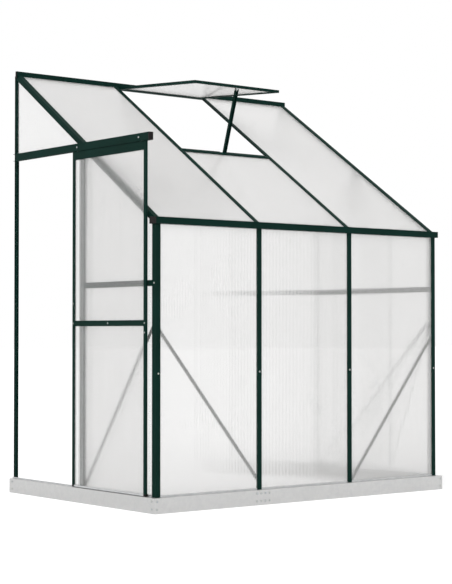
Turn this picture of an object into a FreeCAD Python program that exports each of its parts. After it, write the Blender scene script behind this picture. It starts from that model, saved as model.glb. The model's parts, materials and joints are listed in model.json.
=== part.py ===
import FreeCAD, Part
import math
import os

# A lean-to greenhouse: a green aluminium frame with twin-wall sheets on a steel base, open towards the
# house wall, with a sliding door that hangs outside the left end and a top-hung roof vent on a stay.
# Lengths are in millimetres and angles in degrees. While it is built, X runs from the base's left end to
# the right, Y from the base's front to the house wall, and Z up from the ground. At the end the whole part
# is moved so that its origin is the middle of its footprint on the ground.

# Steel base
base_length = 1928.0
base_depth = 1320.0
base_height = 74.0
base_flange = 60.0
base_sheet = 2.0
splice_past_mullion = 3.5
bolt_row_height = 20.5
bolt_row_spacing = 37.5
bolt_columns = 4
bolt_column_spacing = 26.7
corner_bolt_from_side = 14.0
corner_bolt_from_front = 26.0
bracket_leg = 38.0
bracket_sheet = 2.5
wall_bracket_leg = 46.0
anchor_inset = 30.0
anchor_from_wall = 150.0
anchor_from_front = 150.0
anchor_hole_radius = 4.5

# Frame members
frame_inset = 26.0
post_width = 25.0
post_depth = 16.0
corner_post_depth = 34.0
mullion_width = 27.0
mullion_foot = 14.0
front_lip = 4.0
end_lip = 9.0
end_member_depth = 16.0
stud_width = 40.0
wall_post_width = 17.0
wall_post_depth = 18.0
wall_post_web = 3.0
end_rafter_width = 27.0
rafter_depth = 29.0
rafter_lip = 5.5
inner_rafter_width = 23.0
inner_rafter_depth = 11.6
inner_rafter_foot = 14.0
mid_rail_height = 28.0
mid_rail_underside = 1073.0
end_bay_extra = 12.0
end_bay_clear = 579.0
groove_depth = 9.0
shallow_groove = 6.0
bolt_slot_width = 9.0
bolt_slot_depth = 5.0
sheet_ledge = 1.6

# Flat braces: heights of their centre lines at the posts' middles
brace_width = 17.0
brace_thickness = 3.0
left_brace_top = 883.0
left_brace_foot = 121.0
right_brace_top = 832.0
right_brace_foot_offset = 14.5
right_brace_tab = 24.0
right_brace_tab_depth = 18.0
end_brace_top = 921.0
end_brace_foot = 82.0
end_brace_foot_offset = 8.0

# Twin-wall sheets and the room around them in their grooves
sheet_thickness = 4.0
fit_gap = 0.3

# Eave, roof and ridge
roof_slope = 33.65
roof_height_at_front = 1373.0
gutter_drop = 5.0
gutter_height = 31.5
gutter_front = 13.0
gutter_width = 53.0
gutter_wall = 2.0
gutter_trough = 25.0
gutter_overhang = 12.0
ridge_front_offset = 30.0
ridge_cover = 12.0
ridge_height = 36.0
ridge_rise = 19.3
ridge_overhang = 8.0
end_cap_thickness = 2.5
vent_sill_height = 14.0
vent_sill_ledge = 42.0
vent_sill_lip = 3.0
vent_sill_lead = 22.6
ridge_hole_radius = 4.0
ridge_hole_spacing = 1300.0
ridge_hole_rise = 25.0

# Sliding door
door_length = 635.5
door_front = 84.0
door_outer_face = 6.0
door_thickness = 11.0
door_floor_gap = 4.0
stile_width = 18.0
top_rail_height = 42.0
mid_door_rail_height = 28.0
mid_door_rail_underside = 883.0
bottom_rail_height = 8.0
bottom_rail_groove = 6.0
header_rise = 393.0
header_lift = 4.0
track_height = 38.0
track_outer_face = 2.0
track_front = 52.0
track_end_gap = 50.0
track_lip_length = 25.0
track_wall = 1.8
track_slot = 7.0
track_cap_length = 8.0
door_gap = 1.0
hanger_thickness = 3.0
hanger_width = 30.0
hanger_inset = 45.0
hanger_above_axle = 5.0
roller_radius = 11.0
roller_width = 6.0
axle_radius = 3.0
axle_collar = 1.5
roller_side_gap = 1.0
running_clearance = 0.05
sill_height = 8.0
sill_wall = 1.6
floor_rail_height = 7.5
floor_rail_thickness = 2.0
floor_rail_foot = 7.0
floor_rail_offset = 1.5
shoe_height = 10.0
shoe_lift = 2.0
shoe_hook = 2.7

# Roof vent, shown standing open on its stay
vent_opening = 29.75
vent_length = 708.0
vent_side_gap = 3.0
vent_rail_width = 20.0
vent_thickness = 14.5
vent_above_hinge = 12.5
hinge_from_ridge = 10.0
hinge_rod_radius = 2.2
hinge_barrel_radius = 4.6
stay_width = 19.0
stay_depth = 13.0
stay_wall = 2.0
stay_web_gap = 1.5
stay_ear_radius = 4.0
stay_ear_gap = 1.0
stay_pivot_inset = 10.0
stay_pivot_drop = 9.0
stay_pin_radius = 3.0
stay_pin_end = 1.0
stay_lean = 17.7
stay_notch_gap = 8.0
stay_notch_start = 2.4
peg_radius = 3.0
peg_height = 8.0

# Fasteners
bolt_radius = 3.0
bolt_head_radius = 5.5
bolt_head_height = 3.0
bolt_head_round = 1.5
nut_radius = 5.5
nut_height = 5.0
screw_radius = 2.0
screw_head_radius = 4.5
screw_head_height = 2.4
screw_head_round = 1.44
flat_head_height = 1.68
screw_length = 9.0
end_brace_screw_length = 5.0
track_screw_end = 0.1
front_screw_height = 658.0
front_brace_screw_inset = 13.5
end_brace_screw_inset = 9.0
door_screw_head_radius = 3.6
door_screw_end_gap = 0.2
door_screw_below_rail = 45.0
door_screw_above_rail = 100.0
track_screw_from_front = 86.0
track_screw_spacing = 536.0
hole_clearance = 0.25

# How far a cutting shape reaches past the face it cuts
overshoot = 1.0

# Values that follow from the sizes above
slot = sheet_thickness + 2 * fit_gap
cos_slope = math.cos(math.radians(roof_slope))
tan_slope = math.tan(math.radians(roof_slope))
left_face = frame_inset
right_face = base_length - frame_inset
front_face = frame_inset
wall_plane = base_depth
middle_x = base_length / 2
bay_pitch = (right_face - left_face - post_width - 2 * end_bay_extra) / 3
mullion_x = [middle_x - bay_pitch / 2, middle_x + bay_pitch / 2]
front_post_rear = front_face + post_depth
corner_post_rear = front_face + corner_post_depth
stud_front = corner_post_rear + end_bay_clear
stud_rear = stud_front + stud_width
wall_post_front = wall_plane - wall_post_depth
gutter_underside = roof_height_at_front - gutter_drop
header_underside = roof_height_at_front + header_rise
track_web_end = wall_plane - track_end_gap
post_top = gutter_underside
sheet_slot_front = front_face + front_lip
ridge_front = wall_plane - ridge_front_offset
ridge_top = roof_height_at_front + ridge_front * tan_slope + ridge_rise
ridge_underside = ridge_top - ridge_height
sheet_depth = rafter_lip + fit_gap
gutter_rear = gutter_front + gutter_width
gutter_top = gutter_underside + gutter_height
header_top = header_underside + track_height
mid_rail_top = mid_rail_underside + mid_rail_height
door_bottom = base_height + door_floor_gap
door_top = header_underside - door_gap
stile_bottom = base_height + shoe_lift + shoe_height
door_middle_x = door_outer_face + door_thickness / 2
hinge_y = ridge_front - hinge_from_ridge
vent_sill_y = hinge_y - vent_length * cos_slope - vent_sill_lead
hinge_depth = rafter_lip + slot / 2
vent_rest_tilt = roof_slope - vent_opening
parts = {}

X = FreeCAD.Vector(1, 0, 0)
Y = FreeCAD.Vector(0, 1, 0)
Z = FreeCAD.Vector(0, 0, 1)


def block(x0, x1, y0, y1, z0, z1):
    return Part.makeBox(x1 - x0, y1 - y0, z1 - z0, FreeCAD.Vector(x0, y0, z0))


def prism(points, direction):
    loop = Part.makePolygon(points + [points[0]])
    return Part.Face(loop).extrude(direction)


def along_x(outline, x0, x1):
    return prism([FreeCAD.Vector(x0, y, z) for y, z in outline], X * (x1 - x0))


def along_y(outline, y0, y1):
    return prism([FreeCAD.Vector(x, y0, z) for x, z in outline], Y * (y1 - y0))


def along_z(outline, z0, z1):
    return prism([FreeCAD.Vector(x, y, z0) for x, y in outline], Z * (z1 - z0))


def cylinder(x, y, z, radius, length, direction):
    return Part.makeCylinder(radius, length, FreeCAD.Vector(x, y, z), direction)


def joined(shapes):
    result = shapes[0]
    for shape in shapes[1:]:
        result = result.fuse(shape)
    return result.removeSplitter()


def less(shape, cutters):
    for cutter in cutters:
        shape = shape.cut(cutter)
    return shape


def group(shapes):
    solids = []
    for shape in shapes:
        solids.extend(shape.Solids)
    return Part.makeCompound(solids)


def mirrored(shape):
    return shape.mirror(FreeCAD.Vector(middle_x, 0, 0), X)


# Height, at a distance y from the front, of a plane that lies a depth below the rafters' outer faces
def roof_height(y, depth=0.0):
    return roof_height_at_front + y * tan_slope - depth / cos_slope


def roof_slab(x0, x1, depth0, depth1, y0, y1):
    outline = [(y0, roof_height(y0, depth0)), (y1, roof_height(y1, depth0))]
    outline += [(y1, roof_height(y1, depth1)), (y0, roof_height(y0, depth1))]
    return along_x(outline, x0, x1)


# Everything below the end rafters' undersides
def under_roof(x0, x1, depth):
    outline = [(0, 0), (wall_plane, 0), (wall_plane, roof_height(wall_plane, depth))]
    outline.append((0, roof_height(0, depth)))
    return along_x(outline, x0, x1)


# Bolts and screws: a head outside, a shank along the given direction, and a nut where the bolt has one
def bolt(x, y, z, direction, grip):
    start = FreeCAD.Vector(x, y, z)
    tip = start - direction * bolt_head_height
    head = Part.makeCylinder(bolt_head_radius, bolt_head_height, tip, direction)
    head = head.makeFillet(bolt_head_round, [rim_of(head, tip)])
    shank = Part.makeCylinder(bolt_radius, grip + nut_height, start, direction)
    nut = Part.makeCylinder(nut_radius, nut_height, start + direction * grip, direction)
    return joined([head, shank, nut])


def bolt_hole(x, y, z, direction, grip):
    start = FreeCAD.Vector(x, y, z) - direction * overshoot
    return Part.makeCylinder(bolt_radius + hole_clearance, grip + 2 * overshoot, start, direction)


def rim_of(disc, centre):
    rims = [edge for edge in disc.Edges if edge.isClosed() and edge.Length > 0]
    return min(rims, key=lambda edge: edge.CenterOfMass.distanceToPoint(centre))


def screw(x, y, z, direction, length):
    start = FreeCAD.Vector(x, y, z)
    tip = start - direction * screw_head_height
    head = Part.makeCylinder(screw_head_radius, screw_head_height, tip, direction)
    head = head.makeFillet(screw_head_round, [rim_of(head, tip)])
    shank = Part.makeCylinder(screw_radius, length, start, direction)
    return joined([head, shank])


def screw_hole(x, y, z, direction, length):
    start = FreeCAD.Vector(x, y, z) - direction * overshoot
    return Part.makeCylinder(screw_radius + hole_clearance, length + 2 * overshoot, start, direction)


# Folded steel base rails, mitred at the front corners and open at the wall
def base_rail_sections():
    web = base_sheet
    top = base_height
    flange = base_flange
    outline = [(0, 0), (flange, 0), (flange, web), (web, web), (web, top - web), (flange, top - web)]
    outline += [(flange, top), (0, top)]
    side = along_y(outline, 0, base_depth)
    front = along_x(outline, 0, base_length)
    return side, front


def base_bolt_rows():
    return [bolt_row_height, bolt_row_height + bolt_row_spacing]


def make_base():
    side, front = base_rail_sections()
    flange = base_flange
    side_plan = [(0, 0), (flange, flange), (flange, base_depth), (0, base_depth)]
    front_plan = [(0, 0), (base_length, 0), (base_length - flange, flange), (flange, flange)]
    splice_x = mullion_x[0] + splice_past_mullion
    left = side.common(along_z(side_plan, -overshoot, base_height + overshoot))
    whole_front = front.common(along_z(front_plan, -overshoot, base_height + overshoot))
    front_left = whole_front.common(block(0, splice_x, 0, flange, 0, base_height))
    front_right = whole_front.common(block(splice_x, base_length, 0, flange, 0, base_height))

    columns = [(i - (bolt_columns - 1) / 2) * bolt_column_spacing for i in range(bolt_columns)]
    low = base_sheet + fit_gap
    high = base_height - base_sheet - fit_gap
    face = base_sheet
    inner = base_sheet + bracket_sheet
    leg = base_sheet + bracket_leg
    splice_half = columns[-1] + bolt_column_spacing / 2
    splice = block(splice_x - splice_half, splice_x + splice_half, face, inner, low, high)
    angle = [(face, face), (leg, face), (leg, inner), (inner, inner), (inner, leg), (face, leg)]
    corner = along_z(angle, low, high)
    back = base_depth
    wall_leg = base_sheet + wall_bracket_leg
    wall_angle = [(face, back), (wall_leg, back), (wall_leg, back - bracket_sheet)]
    wall_angle += [(inner, back - bracket_sheet), (inner, back - bracket_leg), (face, back - bracket_leg)]
    wall_hole = cylinder(anchor_inset, back - bracket_leg, base_height / 2, anchor_hole_radius, base_depth, Y)
    wall = along_z(wall_angle, low, high).cut(wall_hole)

    splice_spots = []
    corner_spots = []
    for z in base_bolt_rows():
        splice_spots += [(splice_x + column, 0, z, Y) for column in columns]
        corner_spots.append((corner_bolt_from_side, 0, z, Y))
        corner_spots += [(0, y, z, X) for y in (corner_bolt_from_front, back - corner_bolt_from_front)]
    grip = base_sheet + bracket_sheet
    bolts = [bolt(x, y, z, direction, grip) for x, y, z, direction in splice_spots + corner_spots]
    holes = [bolt_hole(x, y, z, direction, grip) for x, y, z, direction in splice_spots + corner_spots]
    corners = len(splice_spots)
    mirrored_bolts = [mirrored(item) for item in bolts[corners:]]
    mirrored_holes = [mirrored(item) for item in holes[corners:]]
    anchors = []
    anchor_depth = base_sheet + 2 * overshoot
    for y in (anchor_from_front, base_depth - anchor_from_wall):
        anchors.append(cylinder(anchor_inset, y, -overshoot, anchor_hole_radius, anchor_depth, Z))

    parts["base_rail_left"] = less(left, holes + anchors)
    parts["base_rail_right"] = less(mirrored(left), mirrored_holes + [mirrored(item) for item in anchors])
    parts["base_rail_front_left"] = less(front_left, holes)
    parts["base_rail_front_right"] = less(front_right, holes + mirrored_holes)
    parts["base_splice_plate"] = less(splice, holes)
    left_brackets = [less(corner, holes), less(wall, holes)]
    parts["base_brackets"] = group(left_brackets + [mirrored(item) for item in left_brackets])
    parts["base_bolts"] = group(bolts + mirrored_bolts)


# Slim channels on the base that take the sheets' lower edges
def sill_channel(along, start, end, slot_start):
    low = base_height
    high = low + sill_height
    floor = low + sill_wall
    slot_end = slot_start + slot
    outer = slot_start - sill_wall
    inner = slot_end + sill_wall
    outline = [(outer, low), (inner, low), (inner, high), (slot_end, high)]
    outline += [(slot_end, floor), (slot_start, floor), (slot_start, high), (outer, high)]
    return along(outline, start, end)


# Clear spans, as pairs of x, between end members and the two members of the given width at the mullions
def bays(end_width, inner_width):
    half = inner_width / 2
    first = (left_face + end_width, mullion_x[0] - half)
    last = (mullion_x[1] + half, right_face - end_width)
    return [first, (mullion_x[0] + half, mullion_x[1] - half), last]


def front_bays():
    return bays(post_width, mullion_width)


def roof_bays():
    return bays(end_rafter_width, inner_rafter_width)


# Clear spans between the members of an end wall, as pairs of y
def end_bays():
    return [(corner_post_rear, stud_front), (stud_rear, wall_post_front)]


def make_sills():
    channels = [sill_channel(along_x, x0, x1, sheet_slot_front) for x0, x1 in front_bays()]
    slot_x = left_face + end_lip
    left = [sill_channel(along_y, y0, y1, slot_x) for y0, y1 in end_bays()]
    channels.append(left[0])
    channels.extend(mirrored(item) for item in left)
    parts["sheet_sills"] = group(channels)
    low = base_height
    x0 = floor_rail_x()
    x1 = x0 + floor_rail_thickness
    x2 = x0 + floor_rail_foot
    high = low + floor_rail_height
    outline = [(x0, low), (x2, low), (x2, low + sill_wall), (x1, low + sill_wall), (x1, high), (x0, high)]
    parts["door_floor_rail"] = along_y(outline, track_front, wall_plane)


# Outer face of the upright rib on the base that guides the door's shoes
def floor_rail_x():
    return door_outer_face + door_thickness + floor_rail_offset


# Posts: extrusions with grooves for the sheets. A corner post has a second leg along the end wall, and a
# mullion has a narrower foot behind the sheets, with a bolt slot along its rear face
def front_post(x0, width, rear):
    return block(x0, x0 + width, front_face, rear, base_height, post_top)


def bolt_slot(middle):
    x0 = middle - bolt_slot_width / 2
    x1 = middle + bolt_slot_width / 2
    return block(x0, x1, front_post_rear - bolt_slot_depth, front_post_rear, 0, post_top + overshoot)


def sheet_groove_x(x0, x1):
    return block(x0, x1, sheet_slot_front, sheet_slot_front + slot, 0, post_top + overshoot)


def sheet_groove_y(y0, y1, top):
    x0 = left_face + end_lip
    return block(x0, x0 + slot, y0, y1, 0, top)


def make_posts():
    inner = left_face + post_width
    leg_x1 = left_face + end_member_depth
    leg = block(left_face, leg_x1, front_face, corner_post_rear, base_height, post_top)
    face = front_post(left_face, post_width, front_post_rear)
    corner = joined([face, leg]).cut(sheet_groove_x(inner - groove_depth, inner))
    groove_front = corner_post_rear - groove_depth
    corner = corner.cut(sheet_groove_y(groove_front, corner_post_rear, post_top + overshoot))
    parts["corner_post_left"] = corner
    parts["corner_post_right"] = mirrored(corner)

    mullions = []
    for middle in mullion_x:
        x0 = middle - mullion_width / 2
        x1 = middle + mullion_width / 2
        cap = front_post(x0, mullion_width, sheet_slot_front + slot + sheet_ledge)
        foot = front_post(middle - mullion_foot / 2, mullion_foot, front_post_rear)
        post = joined([cap, foot]).cut(bolt_slot(middle))
        post = post.cut(sheet_groove_x(x0, x0 + groove_depth))
        mullions.append(post.cut(sheet_groove_x(x1 - groove_depth, x1)))
    parts["front_mullions"] = group(mullions)

    x0 = left_face
    stud = block(x0, x0 + end_member_depth, stud_front, stud_rear, base_height, ridge_top)
    stud = stud.cut(sheet_groove_y(stud_front, stud_front + groove_depth, ridge_top))
    stud = stud.cut(sheet_groove_y(stud_rear - groove_depth, stud_rear, ridge_top))
    stud = stud.common(under_roof(x0, x0 + end_member_depth, rafter_depth))
    parts["door_jamb"] = stud
    parts["right_end_stud"] = mirrored(stud)

    wall_post_top = ridge_underside + ridge_cover
    post = block(x0, x0 + wall_post_width, wall_post_front, wall_plane, base_height, wall_post_top)
    post = post.cut(sheet_groove_y(wall_post_front, wall_post_front + shallow_groove, ridge_top))
    web = wall_post_web
    recess = block(x0, x0 + shallow_groove, wall_post_front + web, wall_plane - web, 0, ridge_top)
    post = post.cut(recess)
    parts["wall_post_left"] = post
    parts["wall_post_right"] = mirrored(post)


def make_mid_rails():
    x0 = left_face
    rails = []
    for y0, y1 in end_bays():
        rail = block(x0, x0 + end_member_depth, y0, y1, mid_rail_underside, mid_rail_top)
        slot_x = x0 + end_lip
        low = block(slot_x, slot_x + slot, y0, y1, mid_rail_underside, mid_rail_underside + groove_depth)
        high = block(slot_x, slot_x + slot, y0, y1, mid_rail_top - groove_depth, mid_rail_top)
        rails.append(rail.cut(low).cut(high))
    parts["mid_rail_left"] = rails[0]
    parts["mid_rails_right"] = group([mirrored(item) for item in rails])


# The eave member: a trough in front, and behind it a sloping seat for the roof sheets
def gutter_outline():
    wall = gutter_wall
    trough_rear = gutter_front + gutter_trough
    seat_front = trough_rear + wall
    seat_depth = rafter_lip + slot
    floor = gutter_underside + wall
    outline = [(gutter_front, gutter_underside), (gutter_rear, gutter_underside)]
    outline.append((gutter_rear, roof_height(gutter_rear, seat_depth)))
    outline.append((seat_front, roof_height(seat_front, seat_depth)))
    outline += [(trough_rear, roof_height(seat_front, seat_depth)), (trough_rear, floor)]
    outline += [(gutter_front + wall, floor), (gutter_front + wall, gutter_top), (gutter_front, gutter_top)]
    return outline


def gutter_span():
    return left_face - gutter_overhang, right_face + gutter_overhang


def make_gutter():
    x0, x1 = gutter_span()
    parts["eave_gutter"] = along_x(gutter_outline(), x0 + end_cap_thickness, x1 - end_cap_thickness)


def end_cap_pair(outline, x0, thickness):
    cap = along_x(outline, x0, x0 + thickness)
    return [cap, mirrored(cap)]


def make_end_caps():
    x0, x1 = gutter_span()
    high = roof_height(gutter_rear, rafter_lip + slot)
    gutter_cap = [(gutter_front, gutter_underside), (gutter_rear, gutter_underside), (gutter_rear, high)]
    gutter_cap += [(gutter_front + gutter_trough, gutter_top), (gutter_front, gutter_top)]
    caps = end_cap_pair(gutter_cap, x0, end_cap_thickness)
    ridge_cap = [(ridge_front, ridge_underside), (ridge_front + ridge_cover, ridge_underside)]
    ridge_cap += [(ridge_front + ridge_cover, ridge_top), (ridge_front, ridge_top)]
    caps += end_cap_pair(ridge_cap, left_face - ridge_overhang, end_cap_thickness)
    cap_rear = track_front + track_cap_length
    caps.append(block(track_outer_face, left_face, track_front, cap_rear, header_underside, header_top))
    parts["end_caps"] = group(caps)


def make_ridge():
    x0 = left_face - ridge_overhang + end_cap_thickness
    low = ridge_underside
    cover = block(x0, base_length - x0, ridge_front, ridge_front + ridge_cover, low, ridge_top)
    beam_x0 = left_face + wall_post_width
    beam = block(beam_x0, base_length - beam_x0, ridge_front + ridge_cover, wall_plane, low, ridge_top)
    ridge = joined([cover, beam])
    for side in (-0.5, 0.5):
        x = middle_x + side * ridge_hole_spacing
        hole = cylinder(x, ridge_front - overshoot, low + ridge_hole_rise, ridge_hole_radius, base_depth, Y)
        ridge = ridge.cut(hole)
    parts["ridge_bar"] = ridge


# Space that the gutter's seat takes from the rafters' lower ends
def gutter_block():
    seat_front = gutter_front + gutter_trough
    seat_depth = rafter_lip + slot
    outline = [(0, 0), (gutter_rear, 0), (gutter_rear, roof_height(gutter_rear, seat_depth))]
    outline += [(seat_front, roof_height(seat_front, seat_depth)), (0, roof_height(seat_front, seat_depth))]
    return along_x(outline, 0, base_length)


def make_rafters():
    lower_end = gutter_front + gutter_trough + gutter_wall
    inner = []
    for middle in mullion_x:
        x0 = middle - inner_rafter_width / 2
        x1 = middle + inner_rafter_width / 2
        lower = rafter_lip + slot
        cap = roof_slab(x0, x1, 0, lower, lower_end, ridge_front)
        foot_x0 = middle - inner_rafter_foot / 2
        foot_x1 = middle + inner_rafter_foot / 2
        foot = roof_slab(foot_x0, foot_x1, lower, inner_rafter_depth, lower_end, ridge_front)
        rafter = joined([cap, foot])
        for groove in ((x0, x0 + groove_depth), (x1 - groove_depth, x1)):
            rafter = rafter.cut(roof_slab(groove[0], groove[1], rafter_lip, lower, 0, wall_plane))
        inner.append(rafter.cut(gutter_block()))
    parts["inner_rafters"] = group(inner)

    x0 = left_face
    x1 = x0 + end_rafter_width
    rafter = roof_slab(x0, x1, 0, rafter_depth, lower_end, wall_post_front)
    rafter = rafter.cut(block(x0, x1, ridge_front, wall_plane, ridge_underside, 2 * ridge_top))
    rafter = rafter.cut(roof_slab(x1 - groove_depth, x1, rafter_lip, rafter_lip + slot, 0, wall_plane))
    slot_x = x0 + end_lip
    groove_top = rafter_depth - groove_depth
    underside_groove = roof_slab(slot_x, slot_x + slot, groove_top, rafter_depth, 0, wall_plane)
    rafter = rafter.cut(underside_groove).cut(gutter_block())
    parts["rafter_left"] = rafter
    parts["rafter_right"] = mirrored(rafter)


# Cross-bar under the vent: its top lip holds the lower sheet, and its ledge carries the vent and the stay
def make_vent_sill():
    x0, x1 = roof_bays()[1]
    y0 = vent_sill_y
    y1 = vent_sill_y + vent_sill_height
    lower = rafter_lip + slot
    y2 = vent_sill_y + vent_sill_ledge
    outline = [(y0, roof_height(y0)), (y1, roof_height(y1)), (y1, roof_height(y1, lower))]
    outline += [(y2, roof_height(y2, lower)), (y2, roof_height(y2, lower + vent_sill_lip))]
    outline += [(y0, roof_height(y0, lower + vent_sill_lip))]
    sill = along_x(outline, x0, x1)
    groove_end = y0 + groove_depth * cos_slope
    sill = sill.cut(roof_slab(x0, x1, rafter_lip, lower, y0 - overshoot, groove_end))
    notch = stay_width / 2 + stay_notch_gap
    notch_start = vent_front_y() + stay_notch_start
    sill = sill.cut(block(middle_x - notch, middle_x + notch, notch_start, y2 + overshoot, 0, ridge_top))
    parts["vent_sill"] = sill
    peg_y = y1 + peg_radius + fit_gap / 2
    foot = FreeCAD.Vector(middle_x, peg_y, roof_height(peg_y, lower))
    peg = Part.makeCylinder(peg_radius, peg_height + peg_radius, foot - Z * peg_radius, Z)
    peg = peg.common(roof_slab(0, base_length, lower, -2 * peg_height, 0, wall_plane))
    parts["stay_peg"] = peg


# Flat braces: a bar between two points of a wall's inner face
def brace_outline(start, end):
    run = end[0] - start[0]
    rise = end[1] - start[1]
    length = math.hypot(run, rise)
    side = (-rise / length * brace_width / 2, run / length * brace_width / 2)
    outline = [(start[0] + side[0], start[1] + side[1]), (end[0] + side[0], end[1] + side[1])]
    outline += [(end[0] - side[0], end[1] - side[1]), (start[0] - side[0], start[1] - side[1])]
    return outline


# Centre lines of the two front braces, in x and z, and of the end braces, in y and z
def front_brace_lines():
    left = [(left_face + post_width / 2, left_brace_top), (mullion_x[0], left_brace_foot)]
    right = [(mullion_x[1] + right_brace_foot_offset, base_height)]
    right.append((right_face - post_width / 2, right_brace_top))
    return left, right


def end_brace_line():
    top = (corner_post_rear - corner_post_depth / 2, end_brace_top)
    return top, (stud_front + end_brace_foot_offset, end_brace_foot)


def point_along(line, distance):
    (a0, b0), (a1, b1) = line
    share = distance / math.hypot(a1 - a0, b1 - b0)
    return a0 + (a1 - a0) * share, b0 + (b1 - b0) * share


def make_braces():
    y0 = front_post_rear
    y1 = y0 + brace_thickness
    clear = end_member_depth + fit_gap
    room = block(left_face + clear, right_face - clear, y0, y1, base_height, post_top)
    left, right = front_brace_lines()
    bars = [along_y(brace_outline(left[0], left[1]), y0, y1).common(room)]
    foot = point_along(right, -brace_width)
    bar = along_y(brace_outline(foot, right[1]), y0, y1).common(room)
    tab_x = right[0][0]
    half = right_brace_tab / 2
    tab_top = base_height + brace_thickness
    tab = block(tab_x - half, tab_x + half, y0, y0 + right_brace_tab_depth, base_height, tab_top)
    bars.append(joined([bar, tab]))
    parts["front_braces"] = group(bars)
    x0 = left_face + end_member_depth
    x1 = x0 + brace_thickness
    start, end = end_brace_line()
    room = block(x0, x1, front_post_rear + fit_gap, wall_plane, base_height, post_top)
    bar = along_x(brace_outline(start, end), x0, x1).common(room)
    parts["end_braces"] = group([bar, mirrored(bar)])


# Sheets of the front wall, the ends and the roof
def make_front_sheets():
    hold = groove_depth - fit_gap
    y0 = sheet_slot_front + fit_gap
    y1 = y0 + sheet_thickness
    low = base_height + sill_wall + fit_gap
    high = gutter_underside - fit_gap
    names = ["front_sheet_left", "front_sheet_middle", "front_sheet_right"]
    for name, (x0, x1) in zip(names, front_bays()):
        parts[name] = block(x0 - hold, x1 + hold, y0, y1, low, high)


def end_sheet(y0, y1, z0, z1):
    x0 = left_face + end_lip + fit_gap
    sheet = block(x0, x0 + sheet_thickness, y0, y1, z0, z1)
    sheet = sheet.common(under_roof(x0, x0 + sheet_thickness, rafter_depth - groove_depth + fit_gap))
    return sheet.cut(block(0, base_length, 0, gutter_rear + fit_gap, gutter_underside - fit_gap, ridge_top))


def make_end_sheets():
    hold = groove_depth - fit_gap
    wall_hold = shallow_groove - fit_gap
    low = base_height + sill_wall + fit_gap
    split_low = mid_rail_underside + hold
    split_high = mid_rail_top - hold
    (front0, front1), (rear0, rear1) = end_bays()
    front_low = end_sheet(front0 - hold, front1 + hold, low, split_low)
    front_high = end_sheet(front0 - hold, front1 + hold, split_high, ridge_top)
    rear_low = end_sheet(rear0 - hold, rear1 + wall_hold, low, split_low)
    rear_high = end_sheet(rear0 - hold, rear1 + wall_hold, split_high, ridge_top)
    gable = end_sheet(rear0 + fit_gap, rear1 + wall_hold, header_top - hold, ridge_top)
    trim = block(0, base_length, ridge_front - fit_gap, ridge_front + ridge_cover + fit_gap,
                 ridge_underside - fit_gap, ridge_top)
    rear_high = rear_high.cut(trim)
    gable = gable.cut(trim)
    parts["left_end_sheets"] = group([front_low, front_high])
    parts["left_gable_sheet"] = gable.Solids[0]
    parts["right_front_sheets"] = group([mirrored(front_low), mirrored(front_high)])
    parts["right_rear_sheets"] = group([mirrored(rear_low), mirrored(rear_high.Solids[0])])


def make_roof_sheets():
    hold = groove_depth - fit_gap
    y0 = gutter_front + gutter_trough + gutter_wall + fit_gap
    depth0 = sheet_depth
    depth1 = sheet_depth + sheet_thickness
    ends = [ridge_front - fit_gap, vent_sill_y + groove_depth * cos_slope - fit_gap, ridge_front - fit_gap]
    names = ["roof_sheet_left", "roof_sheet_lower", "roof_sheet_right"]
    for name, (x0, x1), y1 in zip(names, roof_bays(), ends):
        parts[name] = roof_slab(x0 - hold, x1 + hold, depth0, depth1, y0, y1)


# Header over the doorway, and the door's track in front of it
def make_header_and_track():
    x0 = left_face
    header_low = header_underside + header_lift
    header = block(x0, x0 + end_member_depth, stud_rear, wall_post_front, header_low, header_top)
    slot_x = x0 + end_lip
    groove_low = header_top - groove_depth
    header = header.cut(block(slot_x, slot_x + slot, stud_rear, wall_post_front, groove_low, header_top))
    rafter_x1 = x0 + end_rafter_width
    header = header.cut(roof_slab(x0 - overshoot, rafter_x1, -ridge_top, rafter_depth, 0, wall_plane))
    parts["door_header"] = header

    t = track_wall
    outer = track_outer_face
    inner = left_face
    low = header_underside
    high = header_top
    lip_out = door_middle_x - track_slot / 2
    lip_in = door_middle_x + track_slot / 2
    outline = [(outer, low), (lip_out, low), (lip_out, low + t), (outer + t, low + t), (outer + t, high - t)]
    outline += [(inner - t, high - t), (inner - t, low + t), (lip_in, low + t), (lip_in, low), (inner, low)]
    outline += [(inner, high), (outer, high)]
    rear = track_web_end + track_lip_length
    track = along_y(outline, track_front + track_cap_length, rear)
    tail = block(outer - overshoot, inner - t, track_web_end, rear + overshoot, low + t, high - t)
    parts["door_track"] = track.cut(tail)


# The door leaf hangs from two rollers that run on the track's inner lip
def hanger_positions():
    return [door_front + hanger_inset, door_front + door_length - hanger_inset]


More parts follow.
